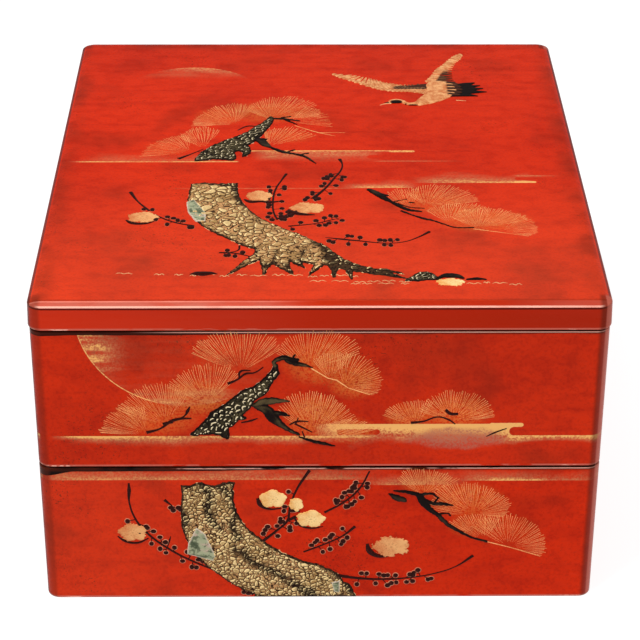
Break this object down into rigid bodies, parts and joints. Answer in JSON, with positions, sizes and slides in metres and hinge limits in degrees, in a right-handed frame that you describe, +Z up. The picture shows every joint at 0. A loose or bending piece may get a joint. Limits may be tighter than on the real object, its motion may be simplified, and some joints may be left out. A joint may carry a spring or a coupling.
{
  "type": "tiered lacquer box",
  "caption": "Stacking box of red lacquered board with open tiers and a flat lid that lifts off, with trees in raised lacquer on the lid and the front.",
  "frame": {"origin": "middle of the underside of the lower tier", "axes": "+Z up, +X to the right along the front wall, the front with the picture faces -Y"},
  "size_m": [0.226, 0.2622, 0.1394],
  "materials": {
    "lid_lacquer": "gloss",
    "upper_tier_lacquer": "gloss",
    "lower_tier_lacquer": "gloss"
  },
  "bodies": {
    "root": {"lid": "lid_lacquer", "upper_tier": "upper_tier_lacquer", "lower_tier": "lower_tier_lacquer"}
  },
  "joints": []
}
